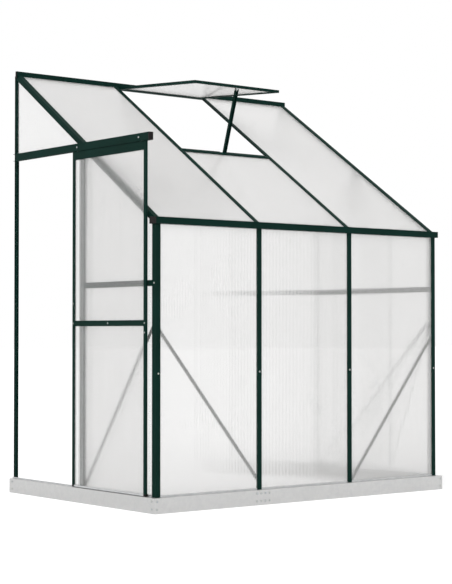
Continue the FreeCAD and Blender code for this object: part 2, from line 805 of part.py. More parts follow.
def make_door():
    x0 = door_outer_face
    x1 = door_outer_face + door_thickness
    y0 = door_front
    y1 = door_front + door_length
    inner0 = y0 + stile_width
    inner1 = y1 - stile_width
    slot_x = door_middle_x - slot / 2
    slot_end = slot_x + slot
    bottom = door_bottom + bottom_rail_height
    groove_low = bottom - bottom_rail_groove
    stile_grooves = []
    for groove_y in (inner0 - groove_depth, inner1):
        groove_end = groove_y + groove_depth
        stile_grooves.append(block(slot_x, slot_end, groove_y, groove_end, groove_low, door_top + overshoot))
    stiles = []
    for stile_y in (y0, inner1):
        stile = block(x0, x1, stile_y, stile_y + stile_width, stile_bottom, door_top)
        stiles.append(less(stile, stile_grooves))
    parts["door_stiles"] = group(stiles)

    top_low = door_top - top_rail_height
    mid_low = mid_door_rail_underside
    mid_top = mid_low + mid_door_rail_height
    rails = [("door_top_rail", top_low, door_top), ("door_mid_rail", mid_low, mid_top)]
    rails.append(("door_bottom_rail", door_bottom, bottom))
    grooves = [(top_low, top_low + groove_depth), (mid_low, mid_low + groove_depth)]
    grooves += [(mid_top - groove_depth, mid_top), (groove_low, bottom)]
    rail_grooves = [block(slot_x, slot_end, inner0, inner1, z0, z1) for z0, z1 in grooves]
    for name, z0, z1 in rails:
        parts[name] = less(block(x0, x1, inner0, inner1, z0, z1), rail_grooves)

    hold = groove_depth - fit_gap
    sheet_x = slot_x + fit_gap
    sheets = [("door_sheet_lower", groove_low + fit_gap, mid_low + hold)]
    sheets.append(("door_sheet_upper", mid_top - hold, top_low + hold))
    for name, z0, z1 in sheets:
        parts[name] = block(sheet_x, sheet_x + sheet_thickness, inner0 - hold, inner1 + hold, z0, z1)

    rail_x = floor_rail_x()
    rail_end = rail_x + floor_rail_thickness + fit_gap
    low = base_height + shoe_lift
    slit_top = base_height + floor_rail_height + fit_gap
    slit = block(rail_x - fit_gap, rail_end, y0 - overshoot, y1 + overshoot, 0, slit_top)
    shoes = []
    for shoe_y in (y0, inner1):
        shoe = block(x0, rail_end + shoe_hook, shoe_y, shoe_y + stile_width, low, low + shoe_height)
        shoes.append(less(shoe, [slit] + stile_grooves))
    parts["door_shoes"] = group(shoes)


# A roller turns on an axle through its hanger plate, between the plate and a collar
def make_hangers():
    plate_x0 = door_middle_x - hanger_thickness / 2
    plate_x1 = door_middle_x + hanger_thickness / 2
    wheel_x0 = plate_x1 + roller_side_gap
    wheel_x1 = wheel_x0 + roller_width
    axle_end = wheel_x1 + roller_side_gap
    wheel_z = header_underside + track_wall + roller_radius + running_clearance
    plate_top = wheel_z + axle_radius + hanger_above_axle
    plate_low = door_top - top_rail_height / 2
    bore_radius = axle_radius + running_clearance
    gap = fit_gap
    hangers = []
    axles = []
    rollers = []
    cutters = []
    for y in hanger_positions():
        y0 = y - hanger_width / 2
        y1 = y + hanger_width / 2
        plate = block(plate_x0, plate_x1, y0, y1, plate_low, plate_top)
        hangers.append(plate.cut(cylinder(plate_x0, y, wheel_z, axle_radius, hanger_thickness, X)))
        axle = cylinder(plate_x0, y, wheel_z, axle_radius, axle_end - plate_x0, X)
        collar_x = wheel_x1 + gap
        collar = cylinder(collar_x, y, wheel_z, axle_radius + axle_collar, axle_end - collar_x, X)
        axles.append(joined([axle, collar]))
        wheel = cylinder(wheel_x0, y, wheel_z, roller_radius, roller_width, X)
        rollers.append(wheel.cut(cylinder(wheel_x0, y, wheel_z, bore_radius, roller_width, X)))
        cutters.append(block(plate_x0 - gap, plate_x1 + gap, y0 - gap, y1 + gap, plate_low - gap, door_top))
    parts["door_top_rail"] = less(parts["door_top_rail"], cutters)
    parts["door_hangers"] = group(hangers)
    parts["roller_axles"] = group(axles)
    parts["roller_front"] = rollers[0]
    parts["roller_rear"] = rollers[1]


# The vent is drawn flat, with its hinge line on the X axis, then tipped to where it rests on the stay
def tip_vent(shape):
    shape = shape.copy()
    shape.rotate(FreeCAD.Vector(0, 0, 0), X, vent_rest_tilt)
    shape.translate(FreeCAD.Vector(0, hinge_y, roof_height(hinge_y, hinge_depth)))
    return shape


# Where the closed vent's front edge meets the roof
def vent_front_y():
    return hinge_y - vent_length * cos_slope


def stay_pivot():
    s = -(vent_length - stay_pivot_inset)
    h = vent_above_hinge - vent_thickness - stay_pivot_drop
    tilt = math.radians(vent_rest_tilt)
    y = hinge_y + s * math.cos(tilt) - h * math.sin(tilt)
    z = roof_height(hinge_y, hinge_depth) + s * math.sin(tilt) + h * math.cos(tilt)
    return y, z


# The stay's foot stands on the sill's ledge, straight along the stay from its pivot
def stay_foot_y():
    y, z = stay_pivot()
    lean = math.tan(math.radians(stay_lean))
    level = roof_height(0, rafter_lip + slot)
    return (y + lean * (z - level)) / (1 + lean * tan_slope)


def make_vent():
    x0 = roof_bays()[1][0] + vent_side_gap
    x1 = roof_bays()[1][1] - vent_side_gap
    w = vent_rail_width
    top = vent_above_hinge
    low = top - vent_thickness
    slot_z = (top + low) / 2 - slot / 2

    bore_radius = hinge_rod_radius + running_clearance
    hold = groove_depth - fit_gap
    slot_x0 = x0 + w - groove_depth
    slot_x1 = x1 - w + groove_depth
    slot_top = slot_z + slot
    sheet_z = slot_z + fit_gap

    hinge_rail = joined([block(x0, x1, -w, 0, low, top), cylinder(x0, 0, 0, hinge_barrel_radius, x1 - x0, X)])
    hinge_rail = hinge_rail.cut(cylinder(x0, 0, 0, bore_radius, x1 - x0, X))
    hinge_rail = hinge_rail.cut(block(slot_x0, slot_x1, -w, -w + groove_depth, slot_z, slot_top))
    front = w - vent_length
    front_rail = block(x0, x1, -vent_length, front, low, top)
    front_rail = front_rail.cut(block(slot_x0, slot_x1, front - groove_depth, front, slot_z, slot_top))
    left = block(x0, x0 + w, front, -w, low, top)
    left = left.cut(block(slot_x0, x0 + w, front, -w, slot_z, slot_top))
    sheet_x0 = x0 + w - hold
    sheet_x1 = x1 - w + hold
    sheet = block(sheet_x0, sheet_x1, front - hold, hold - w, sheet_z, sheet_z + sheet_thickness)
    parts["vent_hinge_rail"] = tip_vent(hinge_rail)
    parts["vent_front_rail"] = tip_vent(front_rail)
    parts["vent_side_rails"] = tip_vent(group([left, mirrored(left)]))
    parts["vent_sheet"] = tip_vent(sheet)

    rod_x0 = roof_bays()[1][0] - groove_depth + fit_gap
    rod_length = base_length - 2 * rod_x0
    hinge_z = roof_height(hinge_y, hinge_depth)
    parts["vent_hinge_rod"] = cylinder(rod_x0, hinge_y, hinge_z, hinge_rod_radius, rod_length, X)

    pivot_y = stay_pivot_inset - vent_length
    pivot_z = low - stay_pivot_drop
    ear_half = stay_width / 2 - stay_wall - stay_ear_gap
    ear_x0 = middle_x - ear_half
    ear_x1 = middle_x + ear_half
    ear = block(ear_x0, ear_x1, pivot_y - stay_ear_radius, pivot_y + stay_ear_radius, pivot_z, low)
    ear = joined([ear, cylinder(ear_x0, pivot_y, pivot_z, stay_ear_radius, 2 * ear_half, X)])
    pin_half = stay_width / 2 + stay_pin_end
    pin = cylinder(middle_x - pin_half, pivot_y, pivot_z, stay_pin_radius, 2 * pin_half, X)
    parts["stay_bracket"] = tip_vent(joined([ear, pin]))


# The stay is a channel, open to the front, that hangs from a pin under the vent and stands on the sill
def make_stay():
    pivot_y, pivot_z = stay_pivot()
    foot_y = stay_foot_y()
    foot_z = roof_height(foot_y, rafter_lip + slot)
    length = math.hypot(foot_y - pivot_y, pivot_z - foot_z)
    half = stay_depth / 2
    x0 = middle_x - stay_width / 2
    x1 = middle_x + stay_width / 2
    walls = []
    for wall_x in (x0, x1 - stay_wall):
        wall = block(wall_x, wall_x + stay_wall, -half, half, -length - half, 0)
        walls.append(joined([wall, cylinder(wall_x, 0, 0, half, stay_wall, X)]))
    web = block(x0, x1, half - stay_wall, half, -length - half, -half - stay_web_gap)
    stay = joined(walls + [web])
    stay = stay.cut(cylinder(x0, 0, 0, stay_pin_radius + running_clearance, stay_width, X))
    stay.rotate(FreeCAD.Vector(0, 0, 0), X, stay_lean)
    stay.translate(FreeCAD.Vector(0, pivot_y, pivot_z))
    ledge = rafter_lip + slot - fit_gap
    above_ledge = roof_slab(x0 - overshoot, x1 + overshoot, ledge, -ridge_top, 0, wall_plane)
    parts["vent_stay"] = stay.common(above_ledge)


# Screws through the frame's faces and the braces' ends
def make_screws():
    front = [left_face + post_width / 2, mullion_x[0], mullion_x[1], right_face - post_width / 2]
    spots = [(x, front_face, front_screw_height, Y, screw_length) for x in front]
    rear = front_post_rear + brace_thickness
    left, right = front_brace_lines()
    inset = front_brace_screw_inset
    for x, z in (point_along(left, inset), left[1], point_along(right[::-1], inset)):
        spots.append((x, rear, z, -Y, screw_length))
    tab_y = (rear + front_post_rear + right_brace_tab_depth) / 2
    spots.append((right[0][0], tab_y, base_height + brace_thickness, -Z, screw_length))
    leg_y = corner_post_rear - corner_post_depth / 2
    end_spots = [(left_face, leg_y, mid_rail_underside + mid_rail_height / 2, X, screw_length)]
    face = left_face + end_member_depth + brace_thickness
    line = end_brace_line()
    inset = end_brace_screw_inset
    for y, z in (point_along(line, inset), point_along(line[::-1], inset)):
        end_spots.append((face, y, z, -X, end_brace_screw_length))
    screws = [screw(*spot) for spot in spots]
    holes = [screw_hole(*spot) for spot in spots]
    for spot in end_spots:
        screws += [screw(*spot), mirrored(screw(*spot))]
        holes += [screw_hole(*spot), mirrored(screw_hole(*spot))]
    drilled = ["corner_post_left", "corner_post_right", "front_mullions", "door_jamb", "right_end_stud"]
    for name in drilled + ["front_braces", "end_braces", "base_rail_front_right"]:
        parts[name] = less(parts[name], holes)

    track_z = header_underside + track_height / 2
    first = track_front + track_screw_from_front
    length = track_wall + track_screw_end
    for y in (first, first + track_screw_spacing):
        start = FreeCAD.Vector(track_outer_face, y, track_z)
        screws.append(flat_screw(start, screw_head_radius, length))
        parts["door_track"] = parts["door_track"].cut(flat_screw_hole(start, track_wall))
    parts["frame_screws"] = group(screws)


# Flat-headed screws in the door and its track all point to the right
def flat_screw(start, head_radius, length):
    head = Part.makeCylinder(head_radius, flat_head_height, start - X * flat_head_height, X)
    return joined([head, Part.makeCylinder(screw_radius, length, start, X)])


def flat_screw_hole(start, length):
    radius = screw_radius + hole_clearance
    return Part.makeCylinder(radius, length + 2 * overshoot, start - X * overshoot, X)


def make_door_screws():
    middle = mid_door_rail_underside + mid_door_rail_height / 2
    stile_front = door_front + stile_width / 2
    stile_rear = door_front + door_length - stile_width / 2
    spots = [(stile_front, middle), (stile_rear, middle), (door_front + door_length / 2, middle)]
    spots += [(stile_front, middle - door_screw_below_rail), (stile_rear, middle + door_screw_above_rail)]
    length = (door_thickness - slot) / 2 - door_screw_end_gap
    screws = []
    holes = []
    for y, z in spots:
        start = FreeCAD.Vector(door_outer_face, y, z)
        screws.append(flat_screw(start, door_screw_head_radius, length))
        holes.append(flat_screw_hole(start, length))
    parts["door_screws"] = group(screws)
    parts["door_stiles"] = less(parts["door_stiles"], holes)
    parts["door_mid_rail"] = less(parts["door_mid_rail"], holes)


def build():
    make_base()
    make_sills()
    make_posts()
    make_mid_rails()
    make_gutter()
    make_end_caps()
    make_ridge()
    make_rafters()
    make_vent_sill()
    make_braces()
    make_front_sheets()
    make_end_sheets()
    make_roof_sheets()
    make_header_and_track()
    make_door()
    make_hangers()
    make_door_screws()
    make_vent()
    make_stay()
    make_screws()


# The origin is the middle of the footprint, on the ground
def footprint_middle():
    box = Part.makeCompound(list(parts.values())).BoundBox
    return FreeCAD.Vector((box.XMin + box.XMax) / 2, (box.YMin + box.YMax) / 2, box.ZMin)


def export():
    os.makedirs("parts", exist_ok=True)
    origin = footprint_middle()
    for name, shape in parts.items():
        moved = shape.copy()
        moved.translate(origin * -1)
        moved.exportStep("parts/" + name + ".step")


build()
export()
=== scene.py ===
# %% [markdown]
# # A lean-to greenhouse, dressed as it looks
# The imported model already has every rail, sheet and screw in its real place and size. This lesson keeps
# those solids where their shape is right, gives each one the finish of its real material, makes the
# twin-wall sheets again with their flutes, and sets up a plain white studio with the camera of the
# photograph.

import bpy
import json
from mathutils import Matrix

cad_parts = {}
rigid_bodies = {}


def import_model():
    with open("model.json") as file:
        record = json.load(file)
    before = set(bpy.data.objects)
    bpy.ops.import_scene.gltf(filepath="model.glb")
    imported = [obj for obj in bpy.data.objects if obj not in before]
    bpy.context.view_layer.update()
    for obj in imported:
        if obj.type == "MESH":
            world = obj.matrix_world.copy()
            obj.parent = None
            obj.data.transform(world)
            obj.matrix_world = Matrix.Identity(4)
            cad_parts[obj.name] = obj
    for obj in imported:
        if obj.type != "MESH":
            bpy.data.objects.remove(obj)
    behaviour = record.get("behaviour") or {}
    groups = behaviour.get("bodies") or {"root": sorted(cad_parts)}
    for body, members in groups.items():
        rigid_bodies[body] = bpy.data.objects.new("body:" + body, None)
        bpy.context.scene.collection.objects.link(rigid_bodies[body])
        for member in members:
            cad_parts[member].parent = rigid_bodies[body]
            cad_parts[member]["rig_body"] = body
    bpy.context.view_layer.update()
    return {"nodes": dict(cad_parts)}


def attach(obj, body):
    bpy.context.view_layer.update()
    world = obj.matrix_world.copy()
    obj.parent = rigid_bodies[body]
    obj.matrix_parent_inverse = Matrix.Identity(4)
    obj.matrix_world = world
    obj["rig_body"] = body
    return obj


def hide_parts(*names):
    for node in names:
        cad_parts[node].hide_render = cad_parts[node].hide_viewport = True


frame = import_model()

# %% Modules and units
import json
import math

import bmesh
import bpy
from mathutils import Vector

mm = 0.001
along_x, along_y = Vector((1, 0, 0)), Vector((0, 1, 0))
scene = bpy.context.scene
print("lengths are in metres, so one millimetre is", mm)

# %% [markdown]
# ## Helpers for the finishes
# Colours are picked from the real object as hex codes, which are sRGB, while a shader wants linear light, so
# one function turns one into the other. A second one adds a node, sets its options and fills its inputs with
# a value or with a link, and a third starts an empty material. Every finish below is written with these, so
# that a material reads from top to bottom like a recipe.


# %% Colour and node helpers
def linear(code):
    """Linear red, green, blue and alpha of a hex code such as "#0c2b25"."""
    channels = [int(code[i:i + 2], 16) / 255 for i in (1, 3, 5)]
    channels = [c / 12.92 if c <= 0.04045 else ((c + 0.055) / 1.055) ** 2.4 for c in channels]
    return (*channels, 1.0)


def add(tree, kind, inputs=(), **options):
    """Add a shader node. Each input takes a plain value or the output of another node."""
    node = tree.nodes.new("ShaderNode" + kind)
    for name, value in options.items():
        setattr(node, name, value)
    for name, value in dict(inputs).items():
        if isinstance(value, bpy.types.NodeSocket):
            tree.links.new(value, node.inputs[name])
        else:
            node.inputs[name].default_value = value
    return node


def new_material(name):
    material = bpy.data.materials.new(name)
    material.use_nodes = True
    material.node_tree.nodes.clear()
    return material, material.node_tree


print("middle grey in linear light", [round(v, 3) for v in linear("#808080")])

# %% [markdown]
# ## Powder-coated aluminium
# The frame is extruded aluminium under a baked polyester powder. Powder melts into a skin that is smooth but
# never flat: it keeps a fine ripple called orange peel, about two millimetres from crest to crest. The
# colour is solid, so all the life comes from that ripple, from a slow change in shade along the bars and from
# edges where the coat is thin and rubbed a little lighter. A baked coat has an index near 1.5. Its mirror
# share is turned far down, because in a white room even a satin coat would lift the dark green to grey.


# %% Dark green powder coat
def powder_coated_aluminium():
    shade_patch = 150 * mm
    rubbed_edge = 0.9 * mm
    scuff = 9 * mm
    peel_pitch, peel_height = 2 * mm, 0.05 * mm
    material, tree = new_material("powder_coated_aluminium")
    place = add(tree, "TexCoord").outputs["Object"]
    # a slow change of shade and of gloss
    patches = add(tree, "TexNoise", {"Vector": place, "Scale": 1 / shade_patch, "Detail": 4.0})
    shade = add(tree, "ValToRGB", {"Fac": patches.outputs["Fac"]})
    deep, pale = shade.color_ramp.elements
    deep.position, deep.color = 0.3, linear("#09251f")
    pale.position, pale.color = 0.7, linear("#0c2b25")
    gloss = add(tree, "MapRange", {"Value": patches.outputs["Fac"], "To Min": 0.52, "To Max": 0.62})
    # near an edge the bevelled normal differs from the flat one, and there the coat is rubbed in places
    bent = add(tree, "Bevel", {"Radius": rubbed_edge}, samples=4)
    flat = add(tree, "NewGeometry").outputs["True Normal"]
    turned = add(tree, "VectorMath", {0: bent.outputs["Normal"], 1: flat}, operation="DOT_PRODUCT")
    rub = add(tree, "MapRange", {"Value": turned.outputs["Value"], "From Min": 1.0, "From Max": 0.8})
    scuffs = add(tree, "TexNoise", {"Vector": place, "Scale": 1 / scuff, "Detail": 5.0})
    broken = add(tree, "MapRange", {"Value": scuffs.outputs["Fac"], "From Min": 0.45, "From Max": 0.7})
    worn = add(tree, "Math", {0: rub.outputs["Result"], 1: broken.outputs["Result"]},
               operation="MULTIPLY")
    part_worn = add(tree, "Math", {0: worn.outputs["Value"], 1: 0.35}, operation="MULTIPLY")
    colour = add(tree, "Mix", {"Factor": part_worn.outputs["Value"], "A": shade.outputs["Color"],
                               "B": linear("#2c4a42")}, data_type="RGBA")
    # orange peel
    peel = add(tree, "TexNoise", {"Vector": place, "Scale": 1 / peel_pitch, "Detail": 2.0})
    ripple = add(tree, "Bump", {"Height": peel.outputs["Fac"], "Strength": 0.25,
                                "Distance": peel_height})
    paint = add(tree, "BsdfPrincipled", {"Base Color": colour.outputs["Result"],
                                         "Roughness": gloss.outputs["Result"],
                                         "Normal": ripple.outputs["Normal"],
                                         "IOR": 1.5, "Specular IOR Level": 0.05})
    add(tree, "OutputMaterial", {"Surface": paint.outputs["BSDF"]})
    return material


green = powder_coated_aluminium()
print(green.name, "has", len(green.node_tree.nodes), "nodes")

# %% [markdown]
# ## Hot-dip galvanised steel
# The base is folded from sheet that was drawn through molten zinc. As zinc cools it freezes into spangle:
# flat crystals ten to twenty millimetres wide that differ only a little in grey and in gloss. The cells of a
# cell texture are a good likeness of crystals that grew until they met, once their straight edges are pushed
# about a little. Wide dull patches and a fine grain come on top.


# %% Galvanised sheet
def galvanised_steel():
    crystal = 14 * mm
    push_size, push = 30 * mm, 4 * mm
    dull_patch = 200 * mm
    grain_pitch, grain_height = 1.2 * mm, 0.03 * mm
    material, tree = new_material("hot_dip_galvanised_steel")
    place = add(tree, "TexCoord").outputs["Object"]
    # crystals, each with a grey and a gloss of its own
    waver = add(tree, "TexNoise", {"Vector": place, "Scale": 1 / push_size, "Detail": 2.0})
    pushed = add(tree, "VectorMath", {0: waver.outputs["Color"], 3: push}, operation="SCALE")
    moved = add(tree, "VectorMath", {0: place, 1: pushed.outputs["Vector"]})
    crystals = add(tree, "TexVoronoi", {"Vector": moved.outputs["Vector"], "Scale": 1 / crystal})
    chance = add(tree, "SeparateColor", {"Color": crystals.outputs["Color"]})
    shade = add(tree, "ValToRGB", {"Fac": chance.outputs["Red"]})
    deep, pale = shade.color_ramp.elements
    deep.color, pale.color = linear("#cfcfcf"), linear("#d3d3d2")
    gloss = add(tree, "MapRange", {"Value": chance.outputs["Green"], "To Min": 0.44, "To Max": 0.52})
    # dull patches
    stains = add(tree, "TexNoise", {"Vector": place, "Scale": 1 / dull_patch, "Detail": 6.0})
    dull = add(tree, "MapRange", {"Value": stains.outputs["Fac"], "From Min": 0.5, "From Max": 0.8,
                                  "To Max": 0.5})
    colour = add(tree, "Mix", {"Factor": dull.outputs["Result"], "A": shade.outputs["Color"],
                               "B": linear("#cdcdcc")}, data_type="RGBA")
    grain = add(tree, "TexNoise", {"Vector": place, "Scale": 1 / grain_pitch, "Detail": 3.0})
    relief = add(tree, "Bump", {"Height": grain.outputs["Fac"], "Strength": 0.15,
                                "Distance": grain_height})
    metal = add(tree, "BsdfPrincipled", {"Base Color": colour.outputs["Result"], "Metallic": 1.0,
                                         "Roughness": gloss.outputs["Result"],
                                         "Normal": relief.outputs["Normal"]})
    add(tree, "OutputMaterial", {"Surface": metal.outputs["BSDF"]})
    return material


steel = galvanised_steel()
print(steel.name, "has", len(steel.node_tree.nodes), "nodes")

# %% [markdown]
# ## Mill-finish aluminium
# The channels under the sheets and the rails at the door's foot are left as they came from the press. The
# die draws fine lines along the bar. All these bars lie level, so noise that changes only with height makes
# lines along every one of them. The real lines are a tenth of a millimetre apart, too fine to show here, so
# they are drawn at half a millimetre.


# %% Aluminium with lines from the die
def mill_finish_aluminium():
    line_pitch, line_height = 0.5 * mm, 0.02 * mm
    handled_patch = 40 * mm
    material, tree = new_material("mill_finish_aluminium")
    place = add(tree, "TexCoord").outputs["Object"]
    height = add(tree, "SeparateXYZ", {"Vector": place}).outputs["Z"]
    lines = add(tree, "TexNoise", {"W": height, "Scale": 1 / line_pitch, "Detail": 4.0},
                noise_dimensions="1D")
    handled = add(tree, "TexNoise", {"Vector": place, "Scale": 1 / handled_patch, "Detail": 5.0})
    both = add(tree, "Math", {0: lines.outputs["Fac"], 1: handled.outputs["Fac"]},
               operation="MULTIPLY")
    shade = add(tree, "ValToRGB", {"Fac": both.outputs["Value"]})
    deep, pale = shade.color_ramp.elements
    deep.position, deep.color = 0.1, linear("#b9bbbd")
    pale.position, pale.color = 0.4, linear("#dcdddd")
    gloss = add(tree, "MapRange", {"Value": handled.outputs["Fac"], "To Min": 0.28, "To Max": 0.45})
    drawn = add(tree, "Bump", {"Height": lines.outputs["Fac"], "Strength": 0.2,
                               "Distance": line_height})
    metal = add(tree, "BsdfPrincipled", {"Base Color": shade.outputs["Color"], "Metallic": 1.0,
                                         "Roughness": gloss.outputs["Result"],
                                         "Normal": drawn.outputs["Normal"]})
    add(tree, "OutputMaterial", {"Surface": metal.outputs["BSDF"]})
    return material


mill = mill_finish_aluminium()
print(mill.name, "has", len(mill.node_tree.nodes), "nodes")

# %% [markdown]
# ## Zinc-plated steel
# Screws, bolts, hangers and pins are plated in a bath, which leaves a thin, bright, slightly blue skin that
# goes faintly yellow where it was passivated. It is smoother than the hot-dipped base.


# %% Bright zinc for the fasteners
def zinc_plated_steel():
    film_patch = 6 * mm
    pit_pitch, pit_depth = 0.7 * mm, 0.02 * mm
    material, tree = new_material("bright_zinc_plated_steel")
    place = add(tree, "TexCoord").outputs["Object"]
    film = add(tree, "TexNoise", {"Vector": place, "Scale": 1 / film_patch, "Detail": 3.0})
    shade = add(tree, "ValToRGB", {"Fac": film.outputs["Fac"]})
    bluish, yellowish = shade.color_ramp.elements
    bluish.position, bluish.color = 0.35, linear("#b4bcc4")
    yellowish.position, yellowish.color = 0.7, linear("#cfcdc0")
    gloss = add(tree, "MapRange", {"Value": film.outputs["Fac"], "To Min": 0.2, "To Max": 0.4})
    pits = add(tree, "TexNoise", {"Vector": place, "Scale": 1 / pit_pitch})
    relief = add(tree, "Bump", {"Height": pits.outputs["Fac"], "Strength": 0.1,
                                "Distance": pit_depth})
    metal = add(tree, "BsdfPrincipled", {"Base Color": shade.outputs["Color"], "Metallic": 1.0,
                                         "Roughness": gloss.outputs["Result"],
                                         "Normal": relief.outputs["Normal"]})
    add(tree, "OutputMaterial", {"Surface": metal.outputs["BSDF"]})
    return material


zinc = zinc_plated_steel()
print(zinc.name, "has", len(zinc.node_tree.nodes), "nodes")

# %% [markdown]
# ## Moulded black polypropylene
# The end caps and the door's shoes come out of a mould whose steel was spark-eroded, which leaves a fine
# matt texture that hides fingerprints. A little dust makes the black uneven.


# %% Black plastic
def moulded_polypropylene():
    dust_patch = 25 * mm
    texture_pitch, texture_height = 0.6 * mm, 0.05 * mm
    material, tree = new_material("moulded_black_polypropylene")
    place = add(tree, "TexCoord").outputs["Object"]
    dust = add(tree, "TexNoise", {"Vector": place, "Scale": 1 / dust_patch, "Detail": 5.0})
    shade = add(tree, "ValToRGB", {"Fac": dust.outputs["Fac"]})
    deep, pale = shade.color_ramp.elements
    deep.position, deep.color = 0.4, linear("#120f10")
    pale.position, pale.color = 0.75, linear("#1e1a1b")
    gloss = add(tree, "MapRange", {"Value": dust.outputs["Fac"], "To Min": 0.45, "To Max": 0.6})
    eroded = add(tree, "TexNoise", {"Vector": place, "Scale": 1 / texture_pitch, "Detail": 2.0})
    relief = add(tree, "Bump", {"Height": eroded.outputs["Fac"], "Strength": 0.35,
                                "Distance": texture_height})
    plastic = add(tree, "BsdfPrincipled", {"Base Color": shade.outputs["Color"],
                                           "Roughness": gloss.outputs["Result"],
                                           "Normal": relief.outputs["Normal"],
                                           "IOR": 1.49, "Specular IOR Level": 0.15})
    add(tree, "OutputMaterial", {"Surface": plastic.outputs["BSDF"]})
    return material


black = moulded_polypropylene()
print(black.name, "has", len(black.node_tree.nodes), "nodes")

# %% [markdown]
# ## Turned white nylon
# The door's rollers are turned from white nylon. It is smooth and slightly waxy, because some light sinks a
# couple of millimetres into it before it comes out again.


# %% White plastic of the rollers
def turned_nylon():
    mark_size, mark_height = 5 * mm, 0.05 * mm
    material, tree = new_material("turned_white_nylon")
    place = add(tree, "TexCoord").outputs["Object"]
    marks = add(tree, "TexNoise", {"Vector": place, "Scale": 1 / mark_size, "Detail": 4.0})
    shade = add(tree, "ValToRGB", {"Fac": marks.outputs["Fac"]})
    deep, pale = shade.color_ramp.elements
    deep.color, pale.color = linear("#d8d4c8"), linear("#efede6")
    gloss = add(tree, "MapRange", {"Value": marks.outputs["Fac"], "To Min": 0.3, "To Max": 0.5})
    relief = add(tree, "Bump", {"Height": marks.outputs["Fac"], "Strength": 0.2,
                                "Distance": mark_height})
    plastic = add(tree, "BsdfPrincipled", {"Base Color": shade.outputs["Color"], "IOR": 1.53,
                                           "Roughness": gloss.outputs["Result"],
                                           "Normal": relief.outputs["Normal"],
                                           "Subsurface Weight": 0.15, "Subsurface Scale": 2 * mm})
    add(tree, "OutputMaterial", {"Surface": plastic.outputs["BSDF"]})
    return material


nylon = turned_nylon()
print(nylon.name, "has", len(nylon.node_tree.nodes), "nodes")

# %% [markdown]
# ## Twin-wall polycarbonate: the bend
# A twin-wall sheet is two clear skins joined by thin ribs every few millimetres. Looked through, it blurs
# only across the ribs: a level rail behind it stays a crisp line, while an upright post melts away. Plain
# rough glass would blur both ways. So here the surface stays smooth and its normal is swung from side to
# side across the flutes, which bends each ray sideways only. It is swung only where a ray enters. Swung
# again on its way out, much of the light would be trapped in the sheet.

# %% A normal that swings across the flutes
flute_pitch = 9.4 * mm


def swung_normal(tree, across, position, phase, swing):
    """The surface's normal with a lean across the flutes, between the two amounts in swing."""
    uneven_length = 30 * mm
    least, most = swing
    wave = add(tree, "Math", {0: phase}, operation="SINE")
    uneven = add(tree, "TexNoise", {"W": position, "Scale": 1 / uneven_length, "Detail": 1.0},
                 noise_dimensions="1D")
    amount = add(tree, "MapRange", {"Value": uneven.outputs["Fac"], "To Min": least, "To Max": most})
    lean = add(tree, "Math", {0: wave.outputs["Value"], 1: amount.outputs["Result"]},
               operation="MULTIPLY")
    skin = add(tree, "NewGeometry")
    entering = add(tree, "Math", {0: 1.0, 1: skin.outputs["Backfacing"]}, operation="SUBTRACT")
    lean_in = add(tree, "Math", {0: lean.outputs["Value"], 1: entering.outputs["Value"]},
                  operation="MULTIPLY")
    sideways = add(tree, "VectorMath", {0: across, 3: lean_in.outputs["Value"]}, operation="SCALE")
    swung = add(tree, "VectorMath", {0: skin.outputs["Normal"], 1: sideways.outputs["Vector"]})
    normal = add(tree, "VectorMath", {0: swung.outputs["Vector"]}, operation="NORMALIZE")
    return normal.outputs["Vector"]


print("flutes are", round(flute_pitch / mm, 1), "mm apart")

# %% [markdown]
# ## Twin-wall polycarbonate: the milk
# The sheet also scatters some light and looks white. A share of it is therefore milky plastic, a little more
# of it along each rib, and not quite even over the sheet. The milky part has two sides: one throws back the
# light that falls on it, the other glows with the light from behind.


# %% Milky part of a sheet
def milky_amount(tree, place, phase, milky_share):
    """How much of the sheet is milky at a point: its share, more on the ribs, with a slow drift."""
    cloud = 300 * mm
    on_rib, uneven_by = 0.006, 0.01
    rib = add(tree, "Math", {0: phase}, operation="COSINE")
    lift = add(tree, "MapRange", {"Value": rib.outputs["Value"], "From Min": 0.4, "To Max": on_rib})
    haze = add(tree, "Math", {0: lift.outputs["Result"], 1: milky_share}, operation="ADD")
    clouds = add(tree, "TexNoise", {"Vector": place, "Scale": 1 / cloud, "Detail": 3.0})
    drift = add(tree, "MapRange", {"Value": clouds.outputs["Fac"], "To Min": -uneven_by,
                                   "To Max": uneven_by})
    amount = add(tree, "Math", {0: haze.outputs["Value"], 1: drift.outputs["Result"]},
                 operation="ADD")
    return amount.outputs["Value"]


def milky_plastic(tree, glow_share):
    """White plastic of which glow_share is lit from behind and the rest from the near side."""
    near = add(tree, "BsdfDiffuse", {"Color": linear("#f6f5f4")})
    behind = add(tree, "BsdfTranslucent", {"Color": linear("#f6f5f4")})
    milk = add(tree, "MixShader", {0: glow_share, 1: near.outputs["BSDF"],
                                   2: behind.outputs["BSDF"]})
    return milk.outputs["Shader"]


print("the milk is", [round(v, 3) for v in linear("#f6f5f4")[:3]])

# %% [markdown]
# ## Twin-wall polycarbonate: the whole sheet
# Clear and milky plastic are mixed and get a thin gloss. Lamps shine straight through the clear part, a
# little dimmed, so that the sheets don't cast black shadows. Solid polycarbonate has an index of 1.58, but a
# twin-wall sheet is mostly air: it bends light less and mirrors less than a solid slab, so both indices were
# lowered until the view through it and the gloss matched.


